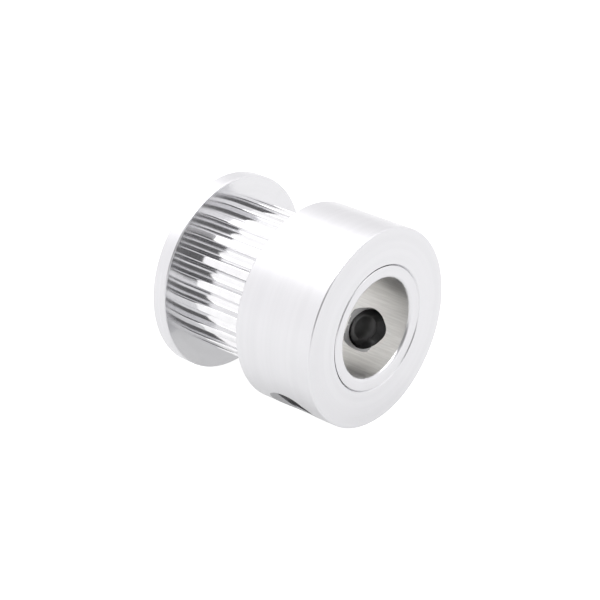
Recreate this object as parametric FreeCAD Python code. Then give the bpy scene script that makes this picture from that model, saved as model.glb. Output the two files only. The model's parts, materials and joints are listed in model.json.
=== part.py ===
import FreeCAD
import Part
import math
import os

# Timing belt pulley, 20 teeth at 2 mm pitch, for a 6 mm belt and an 8 mm shaft.
# Millimetres. The bore runs along Y, the hub faces -Y and the origin is the middle of the bore.
# Angles are measured about Y from +X towards +Z.

# overall
hub_face_y = -8.0
hub_back_y = -0.7
flange_in_y = 6.7
flange_out_y = 8.0
hub_r = 8.0
flange_r = 8.0
spigot_r = 5.0
bore_r = 4.0
bore_break = 0.2
seam_break = 0.06

# hub and flange edges
hub_edge = 0.15
flange_edge = 0.12

# belt teeth, rounded 2 mm profile
teeth = 20
tooth_tip_r = 6.11
groove_floor_r = 0.555
groove_floor_in = 0.195
flank_r = 1.0
flank_shift = 0.4
tip_round = 0.15
groove_phase = 10.5

# grub screws, M4 x 3 with cup point
screw_y = -4.4
screw_angles = (-38.9, -135.0)
screw_tip = 3.78
screw_length = 3.0
screw_core_r = 1.62
point_r = 1.03
point_half_angle = 60
cup_depth = 0.6
screw_end_break = 0.25
socket_flats = 2.0
socket_depth = 1.5
socket_lead = 0.12

# tapped holes, drawn at the thread's minor diameter
tapped_r = 1.66
sink_r = 1.85

axis_y = FreeCAD.Vector(0, 1, 0)


def turned(points):
    """Solid of revolution about Y from (radius, y) points."""
    corners = [FreeCAD.Vector(r, y, 0) for r, y in points]
    outline = Part.makePolygon(corners + corners[:1])
    return Part.Face(outline).revolve(FreeCAD.Vector(0, 0, 0), axis_y, 360)


def in_groove(across, up, angle):
    """Point across and up from the bore's axis, turned so that up points along the angle."""
    a = math.radians(angle)
    x = up * math.cos(a) - across * math.sin(a)
    z = up * math.sin(a) + across * math.cos(a)
    return FreeCAD.Vector(x, 0, z)


def tip_round_centre():
    """Centre of the tooth tip's rounding, for the side of the groove where across is negative."""
    reach = tooth_tip_r - tip_round
    apart = flank_r + tip_round
    hub_to_flank = math.hypot(flank_shift, tooth_tip_r)
    along = (reach ** 2 - apart ** 2 + hub_to_flank ** 2) / (2 * hub_to_flank)
    aside = math.sqrt(reach ** 2 - along ** 2)
    ux = flank_shift / hub_to_flank
    uy = tooth_tip_r / hub_to_flank
    return ux * along - uy * aside, uy * along + ux * aside


def groove_points():
    """Seven points down one side of a belt groove, as (across, up): each arc's ends and middles."""
    cx, cy = tip_round_centre()
    far = math.hypot(cx, cy)
    top = (cx / far * tooth_tip_r, cy / far * tooth_tip_r)
    fx = flank_shift
    fy = tooth_tip_r
    join_angle = math.atan2(cy - fy, cx - fx)
    join = (fx + flank_r * math.cos(join_angle), fy + flank_r * math.sin(join_angle))
    out_angle = math.atan2(cy, cx)
    back_angle = math.atan2(join[1] - cy, join[0] - cx)
    mid_angle = (out_angle + back_angle) / 2
    round_mid = (cx + tip_round * math.cos(mid_angle), cy + tip_round * math.sin(mid_angle))
    low_angle = math.atan2(-groove_floor_in, -flank_shift)
    low = (fx + flank_r * math.cos(low_angle), fy + flank_r * math.sin(low_angle))
    start = join_angle if join_angle < 0 else join_angle - 2 * math.pi
    half = (start + low_angle) / 2
    flank_mid = (fx + flank_r * math.cos(half), fy + flank_r * math.sin(half))
    floor = (0.0, tooth_tip_r - groove_floor_in - groove_floor_r)
    return top, round_mid, join, flank_mid, low, floor


def toothed_bar():
    """Prism with the belt teeth, from the hub's back to the flange."""
    top, round_mid, join, flank_mid, low, floor = groove_points()
    step = 360.0 / teeth
    edges = []
    for n in range(teeth):
        here = groove_phase + n * step
        left = [in_groove(a, u, here) for a, u in (top, round_mid, join, flank_mid, low)]
        right = [in_groove(-a, u, here) for a, u in (low, flank_mid, join, round_mid, top)]
        bottom = in_groove(floor[0], floor[1], here)
        land = in_groove(0, tooth_tip_r, here + step / 2)
        following = in_groove(top[0], top[1], here + step)
        edges.append(Part.Arc(left[0], left[1], left[2]).toShape())
        edges.append(Part.Arc(left[2], left[3], left[4]).toShape())
        edges.append(Part.Arc(left[4], bottom, right[0]).toShape())
        edges.append(Part.Arc(right[0], right[1], right[2]).toShape())
        edges.append(Part.Arc(right[2], right[3], right[4]).toShape())
        edges.append(Part.Arc(right[4], land, following).toShape())
    face = Part.Face(Part.Wire(edges))
    face.translate(FreeCAD.Vector(0, hub_back_y, 0))
    return face.extrude(FreeCAD.Vector(0, flange_in_y - hub_back_y, 0))


def outward(angle):
    """Unit vector from the bore's axis along a screw's axis."""
    a = math.radians(angle)
    return FreeCAD.Vector(math.cos(a), 0, math.sin(a))


def on_screw(angle, reach):
    """Point on a screw's axis at a distance from the bore's axis."""
    return outward(angle) * reach + FreeCAD.Vector(0, screw_y, 0)


def placed_along(shape, angle):
    """Move a shape drawn up Z, with the bore's axis at z = 0, on to a screw's axis."""
    turn = FreeCAD.Rotation(FreeCAD.Vector(0, 0, 1), outward(angle))
    shape.Placement = FreeCAD.Placement(FreeCAD.Vector(0, screw_y, 0), turn)
    return shape


def screw_hole(angle):
    """Cutter for one tapped hole with its countersink."""
    drill = Part.makeCylinder(tapped_r, hub_r + 2, on_screw(angle, 1.0), outward(angle))
    rim = math.sqrt(hub_r ** 2 - sink_r ** 2)
    depth = sink_r - tapped_r
    height = depth + hub_r + 1 - rim
    sink = Part.makeCone(tapped_r, tapped_r + height, height, on_screw(angle, rim - depth), outward(angle))
    return drill.fuse(sink)


def make_core():
    spigot = turned([
        (bore_r - 1, hub_face_y),
        (spigot_r - seam_break, hub_face_y),
        (spigot_r, hub_face_y + seam_break),
        (spigot_r, flange_out_y - seam_break),
        (spigot_r - seam_break, flange_out_y),
        (bore_r - 1, flange_out_y),
    ])
    bore = turned([
        (0, hub_face_y - 1),
        (bore_r + bore_break + 1, hub_face_y - 1),
        (bore_r + bore_break, hub_face_y),
        (bore_r, hub_face_y + bore_break),
        (bore_r, flange_out_y - bore_break),
        (bore_r + bore_break, flange_out_y),
        (bore_r + bore_break + 1, flange_out_y + 1),
        (0, flange_out_y + 1),
    ])
    core = toothed_bar().fuse(spigot).cut(bore)
    for angle in screw_angles:
        drill = Part.makeCylinder(tapped_r, hub_r + 2, on_screw(angle, 1.0), outward(angle))
        core = core.cut(drill)
    return core.removeSplitter()


def make_collar():
    ring = turned([
        (spigot_r + seam_break, hub_face_y),
        (hub_r - hub_edge, hub_face_y),
        (hub_r, hub_face_y + hub_edge),
        (hub_r, hub_back_y - hub_edge),
        (hub_r - hub_edge, hub_back_y),
        (spigot_r, hub_back_y),
        (spigot_r, hub_face_y + seam_break),
    ])
    for angle in screw_angles:
        ring = ring.cut(screw_hole(angle))
    return ring


def make_flange():
    return turned([
        (spigot_r, flange_in_y),
        (flange_r - flange_edge, flange_in_y),
        (flange_r, flange_in_y + flange_edge),
        (flange_r, flange_out_y - flange_edge),
        (flange_r - flange_edge, flange_out_y),
        (spigot_r + seam_break, flange_out_y),
        (spigot_r, flange_out_y - seam_break),
    ])


def make_screw(angle):
    end = screw_tip + screw_length
    shoulder = screw_tip + (screw_core_r - point_r) / math.tan(math.radians(point_half_angle))
    corners = [
        FreeCAD.Vector(0, 0, screw_tip + cup_depth),
        FreeCAD.Vector(point_r - 0.06, 0, screw_tip),
        FreeCAD.Vector(point_r, 0, screw_tip),
        FreeCAD.Vector(screw_core_r, 0, shoulder),
        FreeCAD.Vector(screw_core_r, 0, end - screw_end_break),
        FreeCAD.Vector(screw_core_r - screw_end_break, 0, end),
        FreeCAD.Vector(0, 0, end),
    ]
    outline = Part.Face(Part.makePolygon(corners + corners[:1]))
    body = outline.revolve(FreeCAD.Vector(0, 0, 0), FreeCAD.Vector(0, 0, 1), 360)
    corner_r = socket_flats / math.sqrt(3)
    hexagon = []
    for n in range(7):
        a = math.radians(60 * n)
        hexagon.append(FreeCAD.Vector(corner_r * math.cos(a), corner_r * math.sin(a), end - socket_depth))
    socket = Part.Face(Part.makePolygon(hexagon)).extrude(FreeCAD.Vector(0, 0, socket_depth + 1))
    lead = Part.makeCone(
        corner_r - socket_lead, corner_r + socket_lead, 2 * socket_lead,
        FreeCAD.Vector(0, 0, end - socket_lead), FreeCAD.Vector(0, 0, 1))
    return placed_along(body.cut(socket).cut(lead), angle)


os.makedirs("parts", exist_ok=True)
make_core().exportStep("parts/toothed_core.step")
make_collar().exportStep("parts/hub_collar.step")
make_flange().exportStep("parts/end_flange.step")
for number, angle in enumerate(screw_angles, 1):
    make_screw(angle).exportStep("parts/set_screw_%d.step" % number)
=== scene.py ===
import bmesh
import bpy
import json
import math
from mathutils import Matrix, Vector


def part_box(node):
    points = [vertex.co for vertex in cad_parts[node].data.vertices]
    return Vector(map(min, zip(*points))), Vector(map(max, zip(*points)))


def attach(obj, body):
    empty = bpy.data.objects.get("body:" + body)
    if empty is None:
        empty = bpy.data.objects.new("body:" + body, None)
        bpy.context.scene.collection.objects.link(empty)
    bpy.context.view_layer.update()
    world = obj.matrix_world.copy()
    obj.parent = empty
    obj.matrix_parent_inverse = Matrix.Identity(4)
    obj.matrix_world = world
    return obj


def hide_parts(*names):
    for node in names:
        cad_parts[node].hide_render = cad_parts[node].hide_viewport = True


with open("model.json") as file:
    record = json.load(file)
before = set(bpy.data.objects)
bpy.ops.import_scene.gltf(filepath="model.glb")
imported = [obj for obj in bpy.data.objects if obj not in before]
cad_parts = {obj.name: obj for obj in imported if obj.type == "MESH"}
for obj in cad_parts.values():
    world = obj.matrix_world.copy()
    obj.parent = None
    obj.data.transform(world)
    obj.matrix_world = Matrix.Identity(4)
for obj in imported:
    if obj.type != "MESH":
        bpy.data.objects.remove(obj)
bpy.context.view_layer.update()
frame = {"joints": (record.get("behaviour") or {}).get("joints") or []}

scene = bpy.context.scene
MM = 0.001
TURN = 2 * math.pi
SHARP_ANGLE = math.radians(31)
NEAR_PARALLEL = 0.985
ON_WALL = 0.002
BESIDE_WALL = 0.01

# ---------- places and sizes, in millimetres, from the CAD nodes ----------


def span(node, axis):
    lo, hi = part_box(node)
    return lo[axis] / MM, hi[axis] / MM


HUB_FACE, HUB_BACK = span("hub_collar", 1)
FLANGE_IN, FLANGE_OUT = span("end_flange", 1)
HUB_R = round(span("hub_collar", 0)[1], 2)
FLANGE_R = round(span("end_flange", 0)[1], 2)
SCREW_Y = sum(span("set_screw_1", 1)) / 2
SPIGOT_R = 5.0
BORE_R = 4.0
AXES = {j["child"]: Vector(j["axis"]).normalized() for j in frame["joints"]}


# ---------- finer sizes, in millimetres ----------

# edges, and the seam where the core's spigot ends in the hub's face
HUB_EDGE = 0.15
FLANGE_EDGE = 0.12
BORE_EDGE = 0.3
SPIGOT_EDGE = 0.06
SEAM = 0.14
GAP = 0.03
GAP_DEPTH = 0.4
SKIN_IN_R = SPIGOT_R + 0.05

# belt teeth: arcs of the groove floor, the flanks and the tips
TEETH = 20
TIP_R = 6.11
GROOVE_PHASE = 10.5
FLOOR_R = 0.555
FLOOR_IN = 0.195
FLANK_R = 1.0
FLANK_SHIFT = 0.4
TIP_ROUND = 0.15
TOOTH_RING_IN_R = 4.6

# M4 thread: outer radius, inner radius and width of the crest
PITCH = 0.7
THREAD_PHASE = 0.5
HOLE_THREAD = (2.02, 1.66, 0.10)
SCREW_THREAD = (1.95, 1.53, 0.0875)

# tapped hole: its countersunk mouth, and the cutter's two ends by their distance from the bore's axis
SINK_R = 1.85
HOLE_REACH = (2.5, 9.5)

# grub screw: tip and end by their distance from the bore's axis, cup point, hexagon socket
SCREW_TIP = 3.78
SCREW_END = 6.78
POINT_R = 1.03
POINT_SLOPE = math.tan(math.pi / 3)
END_R = 1.5
CUP_R = 0.97
CUP_FLOOR_R = 0.9
CUP_EDGE = 0.05
CUP_DEPTH = 0.6
SOCKET_HALF = 1.0
SOCKET_CORNER_R = SOCKET_HALF / math.cos(math.pi / 6)
SOCKET_LEAD = 0.12
SOCKET_DEPTH = 1.5
DRILL_R = 0.92
DRILL_EDGE = 0.05
DRILL_DEPTH = 1.8


# ---------- mesh helpers ----------

class Builder:
    """Collects points and faces, merging equal points and dropping faces that collapse."""

    def __init__(self):
        self.index = {}
        self.verts = []
        self.faces = []

    def point(self, p):
        key = tuple(round(c, 6) for c in p)
        if key not in self.index:
            self.index[key] = len(self.verts)
            self.verts.append(key)
        return self.index[key]

    def face(self, points):
        ids = []
        for p in points:
            i = self.point(p)
            if i not in ids:
                ids.append(i)
        if len(ids) > 2:
            self.faces.append(ids)

    def rings(self, rings):
        """Quads between rings of points; a ring of one point is an end."""
        for low, high in zip(rings, rings[1:]):
            n = max(len(low), len(high))
            for i in range(n):
                k = (i + 1) % n
                self.face([low[i % len(low)], low[k % len(low)], high[k % len(high)], high[i % len(high)]])

    def build(self, name):
        mesh = bpy.data.meshes.new(name)
        mesh.from_pydata([Vector(v) * MM for v in self.verts], [], self.faces)
        mesh.validate()
        obj = bpy.data.objects.new(name, mesh)
        scene.collection.objects.link(obj)
        return obj


def rounded(points, radii, steps=5):
    """Closed outline of (radius, y) points with its corners rounded."""
    out = []
    for i, r in enumerate(radii):
        p = Vector(points[i])
        if not r:
            out.append(tuple(p))
            continue
        a = (Vector(points[i - 1]) - p).normalized()
        b = (Vector(points[(i + 1) % len(points)]) - p).normalized()
        half = math.acos(a.dot(b)) / 2
        centre = p + (a + b).normalized() * (r / math.sin(half))
        start = p + a * (r / math.tan(half)) - centre
        end = p + b * (r / math.tan(half)) - centre
        for k in range(steps + 1):
            spoke = start.lerp(end, k / steps)
            out.append(tuple(centre + spoke.normalized() * r))
    return out


def lathe(name, outline, segments=288):
    """Solid of revolution about Y from a closed outline of (radius, y) points."""
    b = Builder()
    rings = []
    for r, y in outline:
        ring = []
        for s in range(segments):
            a = TURN * s / segments
            ring.append((r * math.cos(a), y, r * math.sin(a)))
        rings.append(ring)
    b.rings(rings + rings[:1])
    return b.build(name)


def combine(obj, other, operation):
    """Boolean of two solids. The second one is used up."""
    m = obj.modifiers.new("cut", "BOOLEAN")
    m.operation = operation
    m.solver = "EXACT"
    m.object = other
    bpy.context.view_layer.update()
    depsgraph = bpy.context.evaluated_depsgraph_get()
    mesh = bpy.data.meshes.new_from_object(obj.evaluated_get(depsgraph))
    obj.modifiers.clear()
    old = obj.data
    obj.data = mesh
    mesh.name = obj.name
    bpy.data.meshes.remove(old)
    used = other.data
    bpy.data.objects.remove(other)
    bpy.data.meshes.remove(used)


def thread_corners(crest_r, root_r, crest_width, steps=3):
    """(share of the pitch, radius) points over one pitch of a 60 degree thread."""
    flank = (crest_r - root_r) * math.tan(math.radians(30))
    flat = crest_width / 2
    corners = [(-flat - flank, root_r), (-flat, crest_r), (flat, crest_r), (flat + flank, root_r)]
    corners.append((corners[0][0] + PITCH, root_r))
    out = []
    for (u0, r0), (u1, r1) in zip(corners, corners[1:]):
        for k in range(steps):
            t = k / steps
            out.append(((u0 + (u1 - u0) * t) / PITCH, r0 + (r1 - r0) * t))
    return out


def threaded_solid(name, axis, corners, low, high, limit, start, finish, segments=72):
    """Solid along a screw's axis with a helical thread between two reaches from the bore's axis.

    limit(reach, radius) trims the thread. start and finish close its ends, with rings of
    (radius at an angle, reach); a ring with no radius is a point on the axis.
    """
    e1 = Vector((0, 1, 0))
    e2 = axis.cross(e1).normalized()
    centre = Vector((0, SCREW_Y, 0))
    around = []
    for i in range(segments):
        a = TURN * i / segments
        around.append(e1 * math.cos(a) + e2 * math.sin(a))

    def place(i, radius, reach):
        return centre + around[i % segments] * radius + axis * reach

    rows = []
    for turn in range(math.floor(low / PITCH) - 2, math.ceil(high / PITCH) + 2):
        for u, radius in corners:
            row = []
            for i in range(segments):
                reach = max(low, min(high, PITCH * (turn + u + i / segments + THREAD_PHASE)))
                row.append(place(i, limit(reach, radius), reach))
            rows.append(row)
    b = Builder()
    for m in range(len(rows) - 1):
        for i in range(segments):
            quad = [rows[m][i], rows[m + 1][i]]
            if i + 1 < segments:
                quad += [rows[m + 1][i + 1], rows[m][i + 1]]
            else:
                quad.append(rows[min(m + 1 + len(corners), len(rows) - 1)][0])
                quad.append(rows[min(m + len(corners), len(rows) - 1)][0])
            b.face(quad[::-1])
    for ends, row in ((start, rows[0]), (finish, rows[-1])):
        rings = [list(row)]
        for radius, reach in ends:
            if radius is None:
                rings.append([place(0, 0, reach)])
                continue
            ring = []
            for i in range(segments):
                a = TURN * i / segments
                r = radius(a)
                z = reach(a) if callable(reach) else reach
                ring.append(place(i, r, z))
            rings.append(ring)
        b.rings(rings if ends is finish else rings[::-1])
    return b.build(name)


def smooth(obj, normal_at=None):
    """Smooth shading with sharp corners, and exact normals where normal_at gives one."""
    mesh = obj.data
    for p in mesh.polygons:
        p.use_smooth = True
    mesh.set_sharp_from_angle(angle=SHARP_ANGLE)
    if normal_at is None:
        return
    normals = [Vector((0, 0, 0))] * len(mesh.loops)
    for p in mesh.polygons:
        here = [normal_at(mesh.vertices[v].co / MM) for v in p.vertices]
        if all(n is not None and n.dot(p.normal) > NEAR_PARALLEL for n in here):
            for loop, n in zip(p.loop_indices, here):
                normals[loop] = n
    mesh.normals_split_custom_set(normals)
    mesh.update()


def outward_normals(obj):
    """Turns every face of a closed solid outward."""
    bm = bmesh.new()
    bm.from_mesh(obj.data)
    bmesh.ops.recalc_face_normals(bm, faces=bm.faces)
    bm.to_mesh(obj.data)
    bm.free()


def radial(p, sign=1):
    return Vector((p.x, 0, p.z)).normalized() * sign


def ring_normal(p, r_in, r_out, y_low, y_high, edge):
    """Normal of a rounded ring's skin at a point, or None off the skin."""
    r = math.hypot(p.x, p.z)
    if r < r_in:
        return None
    q_r = min(r, r_out - edge)
    q_y = max(y_low + edge, min(y_high - edge, p.y))
    n = radial(p) * (r - q_r) + Vector((0, p.y - q_y, 0))
    return n.normalized() if n.length > 1e-6 else None


# ---------- hub ----------

HOLE_PROFILE = thread_corners(*HOLE_THREAD)


def sink_limit(reach, radius):
    """Widens a tapped hole to its countersink near the hub's skin."""
    return max(radius, SINK_R + (reach - math.sqrt(HUB_R ** 2 - SINK_R ** 2)))


def tap(obj):
    """Cuts the screws' tapped and countersunk holes in a piece."""
    low, high = HOLE_REACH
    for axis in AXES.values():
        cutter = threaded_solid(
            "cutter", axis, HOLE_PROFILE, low, high, sink_limit, [(None, low)], [(None, high)])
        outward_normals(cutter)
        combine(obj, cutter, "DIFFERENCE")


hub = lathe("hub_ring", rounded(
    [(SPIGOT_R, HUB_BACK), (SPIGOT_R, HUB_FACE + GAP_DEPTH),
     (SPIGOT_R + GAP, HUB_FACE + GAP_DEPTH), (SPIGOT_R + GAP, HUB_FACE + SEAM - GAP),
     (SPIGOT_R + SEAM, HUB_FACE), (HUB_R, HUB_FACE), (HUB_R, HUB_BACK)],
    [0, 0, 0, 0, 0, HUB_EDGE, HUB_EDGE]))
outward_normals(hub)
tap(hub)
smooth(hub, lambda p: ring_normal(p, SKIN_IN_R, HUB_R, HUB_FACE, HUB_BACK, HUB_EDGE))

# ---------- toothed core ----------


def arc(cx, cy, r, a0, a1, steps):
    """Points from one angle towards another, without the last."""
    out = []
    for k in range(steps):
        a = a0 + (a1 - a0) * k / steps
        out.append((cx + r * math.cos(a), cy + r * math.sin(a)))
    return out


def groove_half():
    """Points down one side of a belt groove, (across, up), from the tooth's tip to the floor."""
    reach, apart = TIP_R - TIP_ROUND, FLANK_R + TIP_ROUND
    far = math.hypot(FLANK_SHIFT, TIP_R)
    along = (reach ** 2 - apart ** 2 + far ** 2) / (2 * far)
    aside = math.sqrt(reach ** 2 - along ** 2)
    ux, uy = FLANK_SHIFT / far, TIP_R / far
    cx, cy = ux * along - uy * aside, uy * along + ux * aside
    top = math.atan2(cy, cx)
    meet = math.atan2(TIP_R - cy, FLANK_SHIFT - cx)
    pts = arc(cx, cy, TIP_ROUND, top, meet, 8)
    start = math.atan2(cy - TIP_R, cx - FLANK_SHIFT) % TURN
    low = math.atan2(-FLOOR_IN, -FLANK_SHIFT) % TURN
    pts += arc(FLANK_SHIFT, TIP_R, FLANK_R, start, low, 8)
    pts += arc(0, TIP_R - FLOOR_IN, FLOOR_R, low, 1.5 * math.pi, 14)
    return pts


def tooth_outline():
    """Points round the whole toothed section, (x, z)."""
    half = groove_half()
    bottom = (0.0, TIP_R - FLOOR_IN - FLOOR_R)
    profile = half + [bottom] + [(-a, u) for a, u in half[::-1]]
    out = []
    for n in range(TEETH):
        g = math.radians(GROOVE_PHASE + n * 360 / TEETH)
        for a, u in profile:
            out.append((u * math.cos(g) - a * math.sin(g), u * math.sin(g) + a * math.cos(g)))
        end = math.atan2(out[-1][1], out[-1][0])
        first = g + TURN / TEETH + math.atan2(profile[0][0], profile[0][1])
        gap = (first - end) % TURN
        for k in range(1, 6):
            a = end + gap * k / 6
            out.append((TIP_R * math.cos(a), TIP_R * math.sin(a)))
    return out


outline = tooth_outline()
inner = []
for x, z in outline:
    a = math.atan2(z, x)
    inner.append((TOOTH_RING_IN_R * math.cos(a), TOOTH_RING_IN_R * math.sin(a)))
teeth = Builder()
teeth.rings([
    [(x, HUB_BACK, z) for x, z in inner],
    [(x, HUB_BACK, z) for x, z in outline],
    [(x, FLANGE_IN, z) for x, z in outline],
    [(x, FLANGE_IN, z) for x, z in inner],
    [(x, HUB_BACK, z) for x, z in inner],
])
core = teeth.build("belt_core")
outward_normals(core)
tube = lathe("tube", rounded(
    [(BORE_R, HUB_FACE), (SPIGOT_R - SPIGOT_EDGE, HUB_FACE), (SPIGOT_R, HUB_FACE + SPIGOT_EDGE),
     (SPIGOT_R, FLANGE_OUT - SPIGOT_EDGE), (SPIGOT_R - SPIGOT_EDGE, FLANGE_OUT), (BORE_R, FLANGE_OUT)],
    [BORE_EDGE, 0, 0, 0, 0, BORE_EDGE]))
outward_normals(tube)
combine(core, tube, "UNION")
tap(core)


def core_normal(p):
    """Normal of the bore's wall at a point, or None off the wall."""
    r = math.hypot(p.x, p.z)
    if abs(r - BORE_R) < ON_WALL:
        return radial(p, -1)
    return None


smooth(core, core_normal)

# ---------- flange ----------

flange = lathe("flange_ring", rounded(
    [(SPIGOT_R, FLANGE_IN), (FLANGE_R, FLANGE_IN), (FLANGE_R, FLANGE_OUT),
     (SPIGOT_R + SEAM, FLANGE_OUT), (SPIGOT_R, FLANGE_OUT - SEAM)],
    [0, FLANGE_EDGE, FLANGE_EDGE, 0, 0]))
outward_normals(flange)
smooth(flange, lambda p: ring_normal(p, SKIN_IN_R, FLANGE_R, FLANGE_IN, FLANGE_OUT, FLANGE_EDGE))

# ---------- grub screws ----------

SCREW_PROFILE = thread_corners(*SCREW_THREAD)


def hexagon(a):
    """Radius of the socket at an angle."""
    sector = (a + math.pi / 6) % (math.pi / 3) - math.pi / 6
    return SOCKET_HALF / math.cos(abs(sector) - math.pi / 6)


def screw_limit(reach, radius):
    """Trims a screw's thread to its cone point and its bevelled end."""
    return min(radius, POINT_R + (reach - SCREW_TIP) * POINT_SLOPE, END_R + (SCREW_END - reach))


CUP = [
    (lambda a: CUP_R, SCREW_TIP),
    (lambda a: CUP_FLOOR_R, SCREW_TIP + CUP_EDGE),
    (None, SCREW_TIP + CUP_DEPTH),
]
SOCKET = [
    (lambda a: SOCKET_CORNER_R + SOCKET_LEAD, SCREW_END),
    (hexagon, lambda a: SCREW_END - (SOCKET_CORNER_R + SOCKET_LEAD - hexagon(a))),
    (hexagon, SCREW_END - SOCKET_DEPTH),
    (lambda a: DRILL_R, SCREW_END - SOCKET_DEPTH - DRILL_EDGE),
    (None, SCREW_END - DRILL_DEPTH),
]
grubs = {}
for body, axis in AXES.items():
    grub = threaded_solid(
        "grub_" + body, axis, SCREW_PROFILE, SCREW_TIP, SCREW_END, screw_limit, CUP, SOCKET)
    outward_normals(grub)
    smooth(grub)
    grubs[body] = grub

# ---------- who rides on what ----------

for piece, node, slot in (
        (hub, "hub_collar", "hub_aluminium"),
        (core, "toothed_core", "core_aluminium"),
        (flange, "end_flange", "flange_aluminium")):
    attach(piece, "pulley")
    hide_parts(node)
for body, grub in grubs.items():
    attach(grub, body)
    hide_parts(body.replace("screw_", "set_screw_"))

# ---------- materials ----------


class Nodes:
    """Short way to write node links."""

    def __init__(self, tree):
        self.tree = tree

    def node(self, kind, **settings):
        n = self.tree.nodes.new(kind)
        for k, v in settings.items():
            setattr(n, k, v)
        return n

    def put(self, socket, value):
        if isinstance(value, bpy.types.NodeSocket):
            self.tree.links.new(value, socket)
        elif value is not None:
            socket.default_value = value

    def math(self, operation, a, b=None):
        n = self.node("ShaderNodeMath", operation=operation)
        for s, v in zip(n.inputs, (a, b)):
            self.put(s, v)
        return n.outputs[0]

    def ramp(self, value, low, high, out_low=0.0, out_high=1.0):
        n = self.node("ShaderNodeMapRange", interpolation_type="SMOOTHSTEP")
        for s, v in zip(n.inputs, (value, low, high, out_low, out_high)):
            self.put(s, v)
        return n.outputs[0]

    def combine(self, x, y, z):
        n = self.node("ShaderNodeCombineXYZ")
        for s, v in zip(n.inputs, (x, y, z)):
            self.put(s, v)
        return n.outputs[0]

    def noise(self, vector, scale, detail=3.0, roughness=0.5):
        n = self.node("ShaderNodeTexNoise")
        self.put(n.inputs["Vector"], vector)
        n.inputs["Scale"].default_value = scale
        n.inputs["Detail"].default_value = detail
        n.inputs["Roughness"].default_value = roughness
        return n.outputs["Fac"]

    def mix(self, factor, a, b):
        n = self.node("ShaderNodeMix", data_type="RGBA")
        self.put(n.inputs[0], factor)
        self.put(n.inputs[6], a)
        self.put(n.inputs[7], b)
        return n.outputs[2]

    def bump(self, height, strength, distance):
        n = self.node("ShaderNodeBump")
        self.put(n.inputs["Height"], height)
        n.inputs["Strength"].default_value = strength
        n.inputs["Distance"].default_value = distance
        return n.outputs[0]


def new_material(name):
    """A material, its nodes and shader, and the place on the object in mm: x, y, z and radius."""
    m = bpy.data.materials.new(name)
    m.use_nodes = True
    t = Nodes(m.node_tree)
    shader = m.node_tree.nodes["Principled BSDF"]
    split = t.node("ShaderNodeSeparateXYZ")
    t.put(split.inputs[0], t.node("ShaderNodeTexCoord").outputs["Object"])
    x, y, z = (t.math("MULTIPLY", c, 1 / MM) for c in split.outputs)
    r = t.math("SQRT", t.math("ADD", t.math("MULTIPLY", x, x), t.math("MULTIPLY", z, z)))
    return m, t, shader, x, y, z, r


def shade(colour, share=1.0):
    """A colour for a node's socket, darkened to a share of itself."""
    return tuple(c * share for c in colour) + (1,)


def turned(name, colour, rough, groove=0.25, cloud=0.05):
    """Turned aluminium: fine rings about the bore's axis on faces and round the rim."""
    m, t, s, x, y, z, r = new_material(name)
    lines = t.combine(r, y, t.math("MULTIPLY", x, 0.02))
    fine = t.noise(lines, 14.0, 4.0, 0.7)
    wide = t.noise(lines, 1.6, 2.0)
    patch = t.noise(t.combine(x, y, z), 0.35, 3.0)
    s.inputs["Metallic"].default_value = 1.0
    tint = t.mix(t.ramp(wide, 0.35, 0.65), shade(colour, 0.97), shade(colour))
    tint = t.mix(t.ramp(patch, 0.55, 0.75, 0, 0.5), tint, shade(colour, 1 - cloud))
    t.put(s.inputs["Base Color"], tint)
    t.put(s.inputs["Roughness"], t.ramp(fine, 0.25, 0.75, rough * 0.9, rough * 1.15))
    t.put(s.inputs["Normal"], t.bump(fine, groove, 0.000004))
    return m


def reamed(name, colour):
    """Bore wall: satin, with streaks along the bore."""
    m, t, s, x, y, z, r = new_material(name)
    streaks = t.noise(t.combine(x, t.math("MULTIPLY", y, 0.06), z), 5.0, 4.0, 0.65)
    s.inputs["Metallic"].default_value = 1.0
    tint = t.mix(t.ramp(streaks, 0.4, 0.62), shade(colour, 0.9), shade(colour))
    t.put(s.inputs["Base Color"], tint)
    t.put(s.inputs["Roughness"], t.ramp(streaks, 0.3, 0.7, 0.32, 0.42))
    t.put(s.inputs["Normal"], t.bump(streaks, 0.35, 0.00001))
    return m


HOLE_ZONE_R = 2.2
END_ZONE = 0.25


def in_hole(p):
    """Whether a point in millimetres lies on a tapped hole's wall, which gets painted shade."""
    q = p - Vector((0, SCREW_Y, 0))
    reach = max(q.dot(axis) for axis in AXES.values())
    near = reach > 0 and q.length ** 2 - reach ** 2 < HOLE_ZONE_R ** 2
    return near and math.hypot(p.x, p.z) < HUB_R - BESIDE_WALL


def paint(obj, skins, pick):
    """Gives a piece its materials; pick chooses one for each face's centre in millimetres."""
    for skin in skins:
        obj.data.materials.append(skin)
    for p in obj.data.polygons:
        p.material_index = pick(p.center / MM)


def core_skin_at(p):
    """Which of the core's materials a point in millimetres has: its teeth, bore, ends or tapped holes, the
    last with painted shade.
    """
    if math.hypot(p.x, p.z) < BORE_R + BESIDE_WALL:
        return 1
    if not HUB_FACE + END_ZONE < p.y < FLANGE_OUT - END_ZONE:
        return 2
    return 3 if in_hole(p) else 0


ALU = (0.70, 0.70, 0.715)
BRIGHT = (0.82, 0.82, 0.83)
BORE = (0.97, 0.965, 0.95)
# the next colour is painted shade: a darker aluminium standing in for the shade inside the tapped holes
# and their countersinks
TAPPED_SHADE = (0.48, 0.48, 0.49)
satin = turned("hub_satin", ALU, 0.3)
flange_bright = turned("flange_bright", ALU, 0.14, 0.1, 0.13)
core_bright = turned("core_bright", BRIGHT, 0.12, 0.1)
tapped = turned("tapped_thread_painted_shade", TAPPED_SHADE, 0.4)
bore = reamed("bore_reamed", BORE)
# the tapped holes in the hub and the core get the darker material: painted shade in the holes
paint(hub, [satin, tapped], in_hole)
paint(flange, [flange_bright, satin], lambda p: math.hypot(p.x, p.z) > FLANGE_R - FLANGE_EDGE)
paint(core, [core_bright, bore, satin, tapped], core_skin_at)

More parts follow.
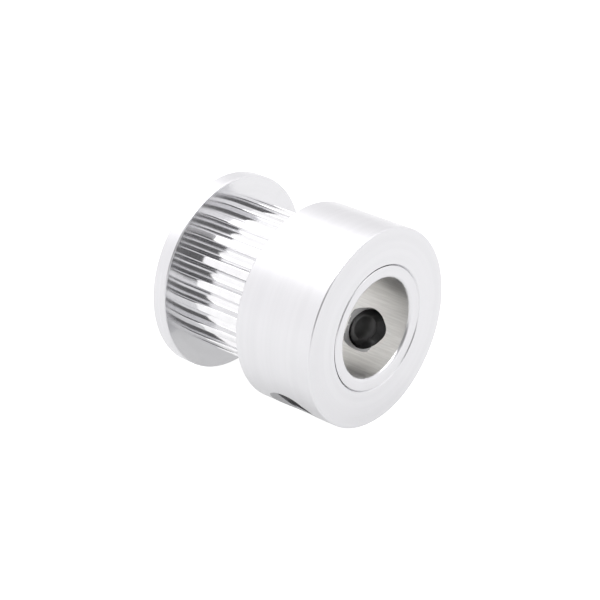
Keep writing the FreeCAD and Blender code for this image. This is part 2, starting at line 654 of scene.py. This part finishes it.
oxide, t, s, x, y, z, r = new_material("black_oxide")
mottle = t.noise(t.combine(x, y, z), 6.0, 4.0, 0.6)
t.put(s.inputs["Base Color"], t.mix(mottle, (0.008, 0.008, 0.009, 1), (0.02, 0.02, 0.021, 1)))
t.put(s.inputs["Roughness"], t.ramp(mottle, 0.3, 0.7, 0.32, 0.45))
for grub in grubs.values():
    grub.data.materials.append(oxide)

# ---------- camera ----------

AZ = math.radians(-49.0)
EL = math.radians(27.2)
# where the middle of the hub's face lies from the camera, in millimetres
FACE_RIGHT, FACE_BELOW, FACE_AWAY = 5.899, 2.183, 151.093
right = Vector((math.cos(AZ), math.sin(AZ), 0))
back = Vector((math.sin(AZ) * math.cos(EL), -math.cos(AZ) * math.cos(EL), math.sin(EL)))
up = back.cross(right)
lens = bpy.data.cameras.new("camera")
lens.lens = 120.0
lens.sensor_width = 36.0
lens.clip_start = 0.005
lens.clip_end = 5.0
camera = bpy.data.objects.new("camera", lens)
scene.collection.objects.link(camera)
face = Vector((0, HUB_FACE, 0))
camera.location = (face - right * FACE_RIGHT + up * FACE_BELOW + back * FACE_AWAY) * MM
camera.rotation_mode = "QUATERNION"
camera.rotation_quaternion = Matrix((right, up, back)).transposed().to_quaternion()
scene.camera = camera

# ---------- floor ----------

HALF = 1500
sheet = Builder()
sheet.face([(x, y, -HUB_R) for x, y in ((-HALF, -HALF), (HALF, -HALF), (HALF, HALF), (-HALF, HALF))])
floor = sheet.build("floor")
paper = bpy.data.materials.new("white_table")
paper.use_nodes = True
shader = paper.node_tree.nodes["Principled BSDF"]
t = Nodes(paper.node_tree)
shader.inputs["Base Color"].default_value = (0.25, 0.25, 0.25, 1)
shader.inputs["Roughness"].default_value = 0.8
shader.inputs["Emission Color"].default_value = (1, 1, 1, 1)
seen = t.node("ShaderNodeLightPath").outputs["Is Camera Ray"]
t.put(shader.inputs["Emission Strength"], t.math("ADD", 0.65, t.math("MULTIPLY", seen, 0.3)))
floor.data.materials.append(paper)

# ---------- soft studio light ----------

world = bpy.data.worlds.new("studio")
world.use_nodes = True
t = Nodes(world.node_tree)
sky = t.node("ShaderNodeTexCoord").outputs["Generated"]


def lobe(direction, inner, outer):
    """1 near a direction, falling to 0 between two angles in degrees."""
    n = t.node("ShaderNodeVectorMath", operation="DOT_PRODUCT")
    t.put(n.inputs[0], sky)
    n.inputs[1].default_value = Vector(direction).normalized()
    return t.ramp(n.outputs["Value"], math.cos(math.radians(outer)), math.cos(math.radians(inner)))


WHITE = 1.2
# white all round, brighter above and behind, darker where the camera stands and to one side
bright = lobe((0.0, 0.583, 0.812), 19, 38)
dark = lobe(back, 14, 46)
top = lobe((0.0, -0.12, 0.99), 13, 26)
rear = lobe((0.81, 0.58, 0.0), 8, 40)
level = t.math("ADD", WHITE, t.math("MULTIPLY", bright, 0.7))
level = t.math("ADD", level, t.math("MULTIPLY", top, 6.9))
level = t.math("SUBTRACT", level, t.math("MULTIPLY", rear, 0.18))
level = t.math("MULTIPLY", level, t.math("SUBTRACT", 1.0, t.math("MULTIPLY", dark, 0.85)))
seen = t.node("ShaderNodeLightPath").outputs["Is Camera Ray"]
level = t.math("MAXIMUM", level, t.math("MULTIPLY", seen, WHITE))
background = world.node_tree.nodes["Background"]
background.inputs["Color"].default_value = (1.0, 0.99, 1.0, 1)
t.put(background.inputs["Strength"], level)
scene.world = world
scene.view_settings.view_transform = "Standard"
